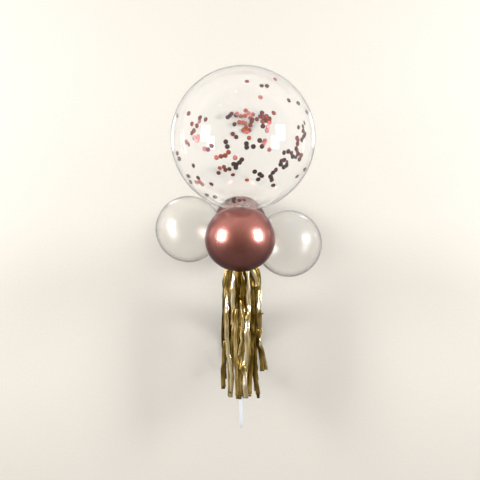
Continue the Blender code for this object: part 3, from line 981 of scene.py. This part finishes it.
# the strips that lie on top, as the photograph shows them: width, then for each crease how far
# along it is from the head and how far across from the stick, both in mm, its turn in degrees and
# its painted light and shade
# and how bright its foil is
frontStrips = {
    "darkLeft": (9, [(24, -24, -10, 0.12), (90, -26, 6, 0.2), (130, -24, -14, 0.15),
                     (190, -20, -6, 0.2), (250, -19, 4, 0.3)]),
    "darkHeartLeft": (9, [(22, -5, 0, 0.05), (80, -7, -10, 0.05), (120, -6, 6, 0.15),
                          (170, -6, -8, 0.2), (205, -5, 6, 0.3), (254, -3, 4, 0.35)]),
    "darkHeartRight": (9, [(22, 3, 4, 0.05), (80, 1, -6, 0.08), (140, 0, 8, 0.2),
                           (180, -1, 6, 0.25), (255, -1.5, 0, 0.4)]),
    "oliveRight": (10, [(26, 17, -6, 0.1), (90, 19, 6, 0.15), (150, 19.5, -6, 0.1),
                        (205, 16, 8, 0.2), (250, 14, -4, 0.45)]),
    "darkFarRight": (8, [(30, 26, 4, 0.2), (90, 28, -8, 0.15), (150, 25, 6, 0.15),
                         (195, 23, 10, 0.12), (225, 27, -10, 0.15), (253, 30.5, -4, 0.2)]),
    "farLeftThin": (3.5, [(26, -26, -30, 0.3), (60, -33, -40, 0.25), (110, -34, -30, 0.2),
                          (160, -35, -10, 0.2), (172, -33, 4, 0.2)]),
    "farLeftFoot": (8, [(158, -30, 6, 0.15), (178, -29, 8, 0.2), (205, -33, -12, 0.2),
                        (240, -32, 2, 0.3)]),
    "farLeftLight": (8, [(28, -27, 6, 0.5), (58, -29, 14, 0.55), (62, -29.5, 29, 1.0),
                         (82, -28.5, 30, 0.9), (98, -27, 27, 1.0), (103, -27, -6, 0.5),
                         (150, -26.5, 14, 0.75), (180, -23, 17, 0.75), (198, -19.5, 12, 0.8),
                         (222, -17.5, 19, 0.85), (240, -18, 14, 0.8), (256, -19.5, 8, 0.8)]),
    "leftBrown": (6, [(90, -16, 18, 0.5), (112, -17, -16, 0.4), (126, -14, 26, 0.7),
                      (138, -15, -6, 0.4), (170, -12, 8, 0.5), (200, -9, -10, 0.35),
                      (253, -7, 4, 0.3)]),
    "leftCream": (8, [(22, -15.5, 16, 0.8), (32, -16.5, 27, 1.0), (54, -16, 25, 1.0),
                      (60, -17, 12, 0.85), (98, -15.5, 18, 0.7), (104, -14, 8, 0.5),
                      (128, -16.5, -8, 0.35)]),
    "brownMiddle": (6, [(100, -9, -10, 0.3), (130, -10, 10, 0.45), (150, -11, 13, 0.5),
                        (182, -10, 12, 0.5), (196, -8.5, -14, 0.3), (232, -7, -8, 0.3),
                        (254, -7, -4, 0.4)]),
    "slashWhite": (1.6, [(30, 0, 20, 1.0), (36, 1.5, 28, 1.0), (46, 4.5, 24, 0.9)]),
    "greyMiddle": (4, [(84, -3, 14, 0.6), (104, 0, 24, 0.7), (112, 2, -10, 0.4),
                       (150, -1, 14, 0.6), (182, -4, 6, 0.5)]),
    "paleRight": (6.5, [(22, 10, 12, 0.7), (40, 11, 16, 0.8), (60, 13, 15, 0.75),
                        (84, 12, 14, 0.8), (92, 12.5, 22, 0.9), (102, 12.5, 30, 1.0),
                        (106, 12.5, -8, 0.5), (118, 11, -4, 0.5)]),
    "creamMiddle": (10, [(112, 9, 8, 0.5), (119, 9.5, 30, 1.0), (133, 9.5, 27, 1.0),
                         (137, 9, 14, 0.7), (165, 8.5, 14, 0.65), (188, 8, 16, 0.7),
                         (192, 7.5, 12, 0.7), (200, 6, 4, 0.5), (206, 4, -4, 0.3)]),
    "creamLow": (11, [(200, 3.5, -6, 0.25), (209, 4, 6, 0.4), (215, 5, 27, 1.0),
                      (232, 6, 24, 0.95), (240, 6.5, 16, 0.8), (257, 8, 18, 0.8)]),
    "rightShoulder": (9, [(22, 16, 14, 0.5), (32, 21, 20, 0.7), (48, 27, 22, 0.7),
                          (58, 28, 4, 0.4)]),
    "rightLoop": (1.6, [(20, 22, 30, 0.2), (30, 28, 30, 0.2), (42, 33.5, 20, 0.2),
                        (52, 34, 10, 0.2), (62, 29, 10, 0.2)]),
    "orangeRight": (8.5, [(54, 30, 8, 0.5), (62, 31, 26, 0.95), (76, 31, 29, 1.0),
                          (98, 31, 30, 1.0), (103, 31.5, -6, 0.4), (140, 33, 6, 0.5)]),
    "tipRight": (3.5, [(97, 33, -20, 0.4), (103, 37, -10, 0.4), (107, 41, 0, 0.35)]),
    "darkRightUnder": (8, [(136, 30, -14, 0.15), (165, 33, -10, 0.15), (190, 37, -6, 0.2),
                           (209, 38.5, 2, 0.3)]),
    "diamondRight": (9, [(134, 34, 10, 0.6), (142, 33, 27, 0.95), (152, 32.5, 30, 1.0),
                         (162, 34, 20, 0.85), (168, 36, 8, 0.6), (200, 43, 10, 0.6),
                         (207, 44, 12, 0.6)]),
}


def fringeStrip(path, widths, turns, folds):
    # a strip through path, turned about its own length and folded a little along its middle
    rows = []
    for i, point in enumerate(path):
        ahead, behind = path[min(i + 1, len(path) - 1)], path[max(i - 1, 0)]
        along = (ahead - behind).normalized()
        flat = Vector((1, 0, 0)) - along * along.x
        flat.normalize()
        up = flat.cross(along)
        if up.z < 0:
            up = -up
        turn = turns[i]
        side = flat * math.cos(turn) + up * math.sin(turn)
        face = up * math.cos(turn) - flat * math.sin(turn)
        half = widths[i] / 2
        rows.append([point - side * half, point + face * folds[i], point + side * half])
    return skinRings(rows, loop=False)


def easedKnots(knots, value):
    # the values between two creases, in a straight run
    if value <= knots[0][0]:
        return knots[0][1:]
    for before, after in zip(knots, knots[1:]):
        if value <= after[0]:
            share = (value - before[0]) / (after[0] - before[0])
            return [a + (b - a) * share for a, b in zip(before[1:], after[1:])]
    return knots[-1][1:]


def topHeight(across, along):
    reach = min(abs(across) / drape["reach"], drape["furthest"])
    hang = drape["hangsAtHead"] + drape["hangsAtEnd"] * smoothStep(0.0, drape["settlesIn"], along)
    return stickHeight + drape["overStick"] - hang * reach ** drape["steepness"]


def parted(across, along):
    off = across + parting["aside"]
    near = math.exp(-((along - parting["along"]) / parting["long"]) ** 2
                    - (off / parting["wide"]) ** 2)
    return across + math.copysign(parting["push"], off) * near


def patchRises(knots):
    # how far each crease is lifted, in mm: a bright patch climbs towards the end of its strip, so
    # that it catches a softbox, and the patches between fall back
    spans = list(zip(knots, knots[1:]))
    climbs = [(b[0] - a[0]) * tassel["climb"] if min(a[3], b[3]) >= tassel["brightPaintedLight"] else 0.0
              for a, b in spans]
    plain = sum(b[0] - a[0] for (a, b), climb in zip(spans, climbs) if not climb)
    fall = sum(climbs) / max(plain, 40)
    rises = [0.0]
    for (a, b), climb in zip(spans, climbs):
        rises.append(rises[-1] + (climb or -fall * (b[0] - a[0])))
    middle = (max(rises) + min(rises)) / 2
    return [rise - middle for rise in rises]


def smallCreases(first, last, wander):
    # crumples between the creases: place, then shift in mm, turn in degrees, fold and shade
    creases = []
    place = first
    while place < last + 25:
        creases.append((place, wander.gauss(0, 0.45), wander.gauss(0, 6),
                        wander.uniform(-1, 1) * tassel["foldHeight"], wander.uniform(-0.12, 0.12)))
        place += wander.uniform(7, 22)
    return creases


def rootNarrowed(spread):
    # a strip is gathered at its root, and reaches its full width as it spreads
    return tassel["rootWidth"] + (1 - tassel["rootWidth"]) * spread


def frontStripShape(number, width, knots, wander):
    # one of the strips on top, which follows its creases; it starts in the head, or under another
    # one where its first crease is well below the head
    first, last = knots[0][0] / 1000, knots[-1][0] / 1000
    fromHead = first <= 0.04
    along = -tassel["tuck"] if fromHead else first - tassel["overlap"]
    creases = smallCreases(along * 1000, knots[-1][0], wander)
    risen = [(*knot, rise) for knot, rise in zip(knots, patchRises(knots))]
    layer = tassel["firstLayer"] + tassel["layerRise"] * number
    path, turns, widths, folds, paintedLights = [], [], [], [], []
    while along <= last + 0.0001:
        across, turn, paintedLight, rise = easedKnots(risen, along * 1000)
        shift, twist, fold, shade = easedKnots(creases, along * 1000)
        across = (across + shift) / 1000
        shown = spread = 1.0
        if fromHead:
            spread = 1 - math.exp(-max(along, 0) / tassel["frontFlare"])
            across = parted(across, along)
        else:
            shown = smoothStep(first - tassel["overlap"], first + tassel["overlap"], along)
        rootX = tassel["rootRadius"] * max(-1, min(1, across / tassel["rootSpread"]))
        rootZ = stickHeight + math.sqrt(tassel["rootRadius"] ** 2 - rootX**2)
        x = rootX + (across - rootX) * spread
        z = rootZ + (topHeight(x, along) + layer + rise / 1000 - rootZ) * spread
        path.append(Vector((x, layout["headEnd"] - along, z)))
        turns.append(math.radians(turn + twist) * spread)
        widths.append(width / 1000 * rootNarrowed(spread) * (0.6 + 0.4 * shown))
        folds.append(fold * spread)
        # painted light and shade along the strip, with a random painted shade at each crumple
        paintedLights += [paintedLight + shade] * 3
        along += tassel["stepLength"] * tassel["frontStep"]
    return fringeStrip(path, widths, turns, folds), paintedLights


def laneOf(across):
    # the middle of the nearest lane, in metres
    return min(laneMiddles, key=lambda middle: abs(middle - across * 1000)) / 1000


def fillStripShape(angle, across, endHeight, fall, paintedLight, wander, onTop=0.0):
    # a strip from its root round the stick to where it comes to rest; onTop is how far under the
    # top of the fringe it lies, for those that lie over the stick
    length = tassel["stripLength"] + wander.uniform(-1, 1) * tassel["lengthSpread"]
    if laneOf(across) == laneMiddles[0] / 1000:
        length -= tassel["leftShorter"]
    width = wander.uniform(*tassel["fillWidths"])
    creases = [0.0]
    while creases[-1] < length:
        creases.append(creases[-1] + wander.uniform(*tassel["fillCreases"]))
    # each crease: place, shift across, turn, lift, shade and fold
    knots = [(place, wander.gauss(0, 0.0010), wander.gauss(0, tassel["fillTurn"]),
              wander.gauss(0, 0.0012), wander.uniform(-0.2, 0.2),
              wander.uniform(-1, 1) * tassel["foldHeight"]) for place in creases]
    rootX = tassel["rootRadius"] * math.sin(angle)
    rootZ = stickHeight + tassel["rootRadius"] * math.cos(angle)
    lane = laneOf(across) + wander.gauss(0, 0.0007)
    # the lane on the right leans outwards below the short strips
    lean = tassel["rightLean"] if laneOf(across) == laneMiddles[-1] / 1000 else 0.0
    path, turns, widths, folds, paintedLights = [], [], [], [], []
    travelled, along = 0.0, -tassel["tuck"]
    while travelled < length:
        free = max(along, 0.0)
        spread = 1 - math.exp(-free / tassel["flare"])
        share = min(free / (fall * length), 1.0)
        ease = smoothStep(0, 1, share)
        shift, turn, lift, shade, fold = easedKnots(knots, travelled)
        target = across + (lane - across) * smoothStep(laneStart, laneEnd, along)
        target += lean * max(along - laneEnd, 0)
        x = rootX + (target + shift - rootX) * spread
        if onTop:
            x = parted(x, along)
            z = rootZ + (topHeight(x, along) - onTop + lift * 0.6 - rootZ) * spread
            slope = 0.0
        else:
            z = rootZ + (endHeight - rootZ) * ease + lift * spread * (1 - ease * 0.7)
            slope = 6 * share * (1 - share) * (endHeight - rootZ) / (fall * length)
        z = max(z, layout["floorGap"] + 0.0022)  # clear of the floor, turned or not
        path.append(Vector((x, layout["headEnd"] - along, z)))
        settled = 1 - 0.75 * ease if endHeight < 0.02 else 1.0
        turns.append(math.radians(turn) * spread * settled)
        widths.append(width * rootNarrowed(spread))
        folds.append(fold * spread)
        # painted light and shade along the strip, with a random painted shade at each crease
        paintedLights += [paintedLight + shade] * 3
        along += tassel["stepLength"] / math.hypot(1, slope)
        travelled += tassel["stepLength"]
    return fringeStrip(path, widths, turns, folds), paintedLights


tasselHead = {
    "around": 144,
    "bore": 0.0036,
    "pleatDepths": (0.055, 0.03),
    "pleats": (18, 31),
    "pleatTwist": 140,  # radians for each metre
    "bandRadius": 0.0082,
    "bandPlace": 0.0075,
    "bandDrop": 0.0022,
    "bandTurns": 3,
    "bandSteps": 119,
    "bandThickness": 0.0008,
    "bandTwist": 0.00025,
}


def headShape():
    # the strips' folded middle, bound round the stick: a pleated sleeve and a twisted band
    top, bottom, bore = layout["headTop"], layout["headEnd"], tasselHead["bore"]
    profile = [(bore, top + 0.0002), (0.0062, top), (0.0084, top - 0.002), (0.0090, top - 0.005),
               (0.0078, top - 0.008), (0.0076, top - 0.010), (0.0086, top - 0.013),
               (0.0088, bottom + 0.001), (0.0074, bottom - 0.004), (bore, bottom - 0.004)]
    axisX, axisZ = Vector((1, 0, 0)), Vector((0, 0, 1))
    deep, fine = tasselHead["pleatDepths"]
    pleats, finePleats = tasselHead["pleats"]
    rings = []
    for radius, along in profile:
        middle = Vector((0, along, stickHeight))
        ring = []
        for j in range(tasselHead["around"]):
            turn = math.tau * j / tasselHead["around"]
            twist = tasselHead["pleatTwist"] * (along - top)
            pleat = 1 + deep * math.cos(pleats * turn + twist)
            pleat += fine * math.cos(finePleats * turn + 1.3)
            pleat = 1.0 if radius == bore else pleat
            ring.append(roundPoint(middle, axisX, axisZ, turn, radius * pleat))
        rings.append(ring)
    rings.append(rings[0])
    steps = tasselHead["bandSteps"]
    band = [roundPoint(Vector((0, top - tasselHead["bandPlace"]
                               - tasselHead["bandDrop"] * i / steps, stickHeight)), axisX, axisZ,
                       math.tau * tasselHead["bandTurns"] * i / steps, tasselHead["bandRadius"])
            for i in range(steps + 1)]
    radii = [tasselHead["bandThickness"] + tasselHead["bandTwist"] * math.sin(i * 0.9)
             for i in range(steps + 1)]
    return joinShapes([skinRings(rings), tube(band, radii, 8)])


def tasselShapes():
    wander = random.Random(tassel["seed"])
    made = []
    for number, (width, knots) in enumerate(frontStrips.values()):
        made.append(frontStripShape(number, width, knots, wander))
    # the fill strips get painted light and shade at random, mostly dark
    count = tassel["topFill"]
    for i in range(count):
        side = 2 * i / (count - 1) - 1
        across = side * tassel["rootSpread"] + wander.uniform(-0.0015, 0.0015)
        made.append(fillStripShape(side * 1.1, across, stickHeight, 1.0,
                                   wander.uniform(0.05, 0.45), wander,
                                   onTop=wander.uniform(0.0005, 0.003)))
    count = tassel["besideFill"]
    for side in (-1, 1):
        for i in range(count):
            share = i / (count - 1)
            across = side * (0.020 + 0.011 * share) + wander.uniform(-0.002, 0.002)
            height = stickHeight * (0.78 - 0.66 * share)
            made.append(fillStripShape(side * (1.2 + 0.9 * share), across, height, 0.9,
                                       wander.uniform(0.05, 0.6), wander))
    count = tassel["belowFill"]
    for i in range(count):
        side = 2 * i / (count - 1) - 1
        across = side * 0.033 + wander.uniform(-0.002, 0.002)
        rest = layout["floorGap"] + wander.uniform(0.002, 0.006)
        made.append(fillStripShape(math.pi + side * 1.0, across, rest,
                                   wander.uniform(0.52, 0.74), wander.uniform(0.1, 0.7), wander))
    return joinShapes([shape for shape, _ in made]), [paintedLight for _, own in made for paintedLight in own]


(points, faces), paintedLights = tasselShapes()
fringe = addPiece("tasselFringe", points, faces, finishes["fringe"], ["tassel"])
storePaintedLight(fringe, paintedLights)
fringe.data.set_sharp_from_angle(angle=math.radians(tassel["creaseAngle"]))
thicken(fringe, "foilThickness", tassel["foilThickness"], 0)
points, faces = headShape()
head = addPiece("tasselHead", points, faces, finishes["fringe"])
# the head is painted one even mid light and shade
storePaintedLight(head, [tassel["headPaintedLight"]] * len(points))
print("tassel made")

# floor, world and lights

room = {
    "floorSize": 14.0,
    "worldStrength": 1.0,
    "overhead": 0.36,
    "horizon": 0.84,
    "below": 0.36,
    "footDim": 0.30,
    "headBright": 1.35,
    "fillSize": 3.0,
    "fillPlace": (0, -0.15, 2.6),
    "fillBrightness": 0.50,
}
floorMesh = bpy.data.meshes.new("floor")
half = room["floorSize"] / 2
floorMesh.from_pydata([(-half, -half, 0), (half, -half, 0), (half, half, 0), (-half, half, 0)],
                      [], [(0, 1, 2, 3)])
floor = bpy.data.objects.new("floor", floorMesh)
bpy.context.scene.collection.objects.link(floor)
floorMesh.materials.append(finishes["paper"])
# gloss shows the soft room below the object in place of the floor
floor.visible_glossy = False

world = bpy.data.worlds.new("softRoom")
world.use_nodes = True
sky = world.node_tree
sky.nodes.clear()
skyPlace = addNode(sky, "ShaderNodeTexCoord")
axes = addNode(sky, "ShaderNodeSeparateXYZ", None, {"Vector": skyPlace.outputs["Generated"]})
# soft all round, dimmer overhead, below and towards the stick's foot, brighter beyond the bubble
rising = addNode(sky, "ShaderNodeMapRange",
                 {1: 0.0, 2: 1.0, 3: room["horizon"], 4: room["overhead"]}, {0: axes.outputs["Z"]})
sinking = addNode(sky, "ShaderNodeMapRange",
                  {1: -1.0, 2: -0.2, 3: room["below"], 4: room["horizon"]}, {0: axes.outputs["Z"]})
level = addNode(sky, "ShaderNodeMath", {"operation": "MINIMUM"}, {0: rising, 1: sinking})
footward = addNode(sky, "ShaderNodeMapRange",
                   {1: -1.0, 2: 0.8, 3: room["footDim"], 4: room["headBright"],
                    "interpolation_type": "SMOOTHSTEP"}, {0: axes.outputs["Y"]})
skyTone = addNode(sky, "ShaderNodeMath", {"operation": "MULTIPLY"}, {0: level, 1: footward})
skyLight = addNode(sky, "ShaderNodeBackground", {"Strength": room["worldStrength"]},
                   {"Color": skyTone})
addNode(sky, "ShaderNodeOutputWorld", None, {"Surface": skyLight})
bpy.context.scene.world = world

# the softboxes: size in metres and brightness (W/m2/sr), then their spill on matt surfaces. The
# metallic skins throw a softbox back as a wider and paler patch than a plain rough metal does, so
# they see a larger one as well
softbox = {
    "distance": 1.10,
    "width": 0.31,
    "tall": 0.42,
    "brightness": 28.0,
    "spill": 22.5,
    "skinGlow": 26.0,
    "skinGlowSize": 1.45,
}
# each stands where its mirror image on the bubble shows at this pixel of the photograph
softboxes = {"leftSoftbox": (205.2, 133.0), "rightSoftbox": (280.8, 132.3)}
# so do two small lights, for the faint spots higher up: x, y, distance, width, height, brightness
spots = {
    "spotHighLeft": (220.0, 105.5, 1.30, 0.07, 0.05, 4.0),
    "spotHighMiddle": (235.7, 91.8, 1.30, 0.06, 0.06, 5.0),
}
# strips that lie on the floor and stand beside the bubble, for the bright lines at its rim:
# place, width, length along the stick, the direction that they face, brightness
rimLights = {
    "leftRimOuter": ((-0.206, 0.025, 0.003), 0.050, 0.100, (0, 0, 1), 3.2),
    "leftRimInner": ((-0.500, -0.035, 0.071), 0.026, 0.200, (1, 0, 0.2), 5.0),
    "rightRimOuter": ((0.210, 0.037, 0.003), 0.054, 0.100, (0, 0, 1), 3.2),
    "rightRimInner": ((0.500, -0.055, 0.035), 0.028, 0.100, (-1, 0, 0.2), 5.0),
}
# what each kind of light is hidden from
hiddenFrom = {
    "gloss": ("diffuse", "transmission"),
    "glossAndClear": ("diffuse",),
    "matt": ("glossy", "transmission"),
}


def lightPlace(x, y, distance):
    # where a light has to be for its mirror image on the bubble to show at a pixel
    ray, hit, _ = sightline(x, y, bubble["radius"])
    return hit + ray.reflect((hit - bubbleCentre).normalized()) * distance


def lightTurn(facing):
    # the light's own Y runs along the stick, as far as it can
    back = -Vector(facing).normalized()
    along = (Vector((0, 1, 0)) - back * back.y).normalized()
    return Matrix((along.cross(back), along, back)).transposed().to_euler()


def addLight(name, place, facing, width, tall, brightness, seenBy):
    lightData = bpy.data.lights.new(name, "AREA")
    lightData.shape = "RECTANGLE"
    lightData.size, lightData.size_y = width, tall
    lightData.energy = brightness * math.pi * width * tall
    light = bpy.data.objects.new(name, lightData)
    light.location = place
    light.rotation_euler = lightTurn(facing)
    light.visible_camera = False
    for ray in hiddenFrom[seenBy]:
        setattr(light, "visible_" + ray, False)
    bpy.context.scene.collection.objects.link(light)
    return light


metallicSkins = bpy.data.collections.new("metallicSkins")
for place in ("front", "back"):
    metallicSkins.objects.link(bpy.data.objects[place + "Balloon"])
for name, (x, y) in softboxes.items():
    place = lightPlace(x, y, softbox["distance"])
    facing, width, tall = bubbleCentre - place, softbox["width"], softbox["tall"]
    addLight(name, place, facing, width, tall, softbox["brightness"], "glossAndClear")
    larger = softbox["skinGlowSize"]
    glow = addLight(name + "Glow", place, facing, width * larger, tall * larger,
                    softbox["skinGlow"], "gloss")
    glow.light_linking.receiver_collection = metallicSkins
    addLight(name + "Spill", place, facing, width, tall, softbox["spill"], "matt")
for name, (x, y, distance, width, tall, brightness) in spots.items():
    place = lightPlace(x, y, distance)
    addLight(name, place, bubbleCentre - place, width, tall, brightness, "gloss")
for name, (place, width, tall, facing, brightness) in rimLights.items():
    addLight(name, place, facing, width, tall, brightness, "gloss")
# a large soft fill for matt surfaces, which gloss does not show
addLight("overheadFill", room["fillPlace"], (0, 0, -1), room["fillSize"], room["fillSize"],
         room["fillBrightness"], "matt")

scene = bpy.context.scene
scene.view_settings.view_transform = "Standard"
scene.view_settings.look = "None"
# enough bounces for clear skins behind clear skins
lightPaths = {"caustics_reflective": False, "caustics_refractive": False, "max_bounces": 20,
              "transmission_bounces": 16, "transparent_max_bounces": 24}
for name, value in lightPaths.items():
    setattr(scene.cycles, name, value)
print("room and lights made")
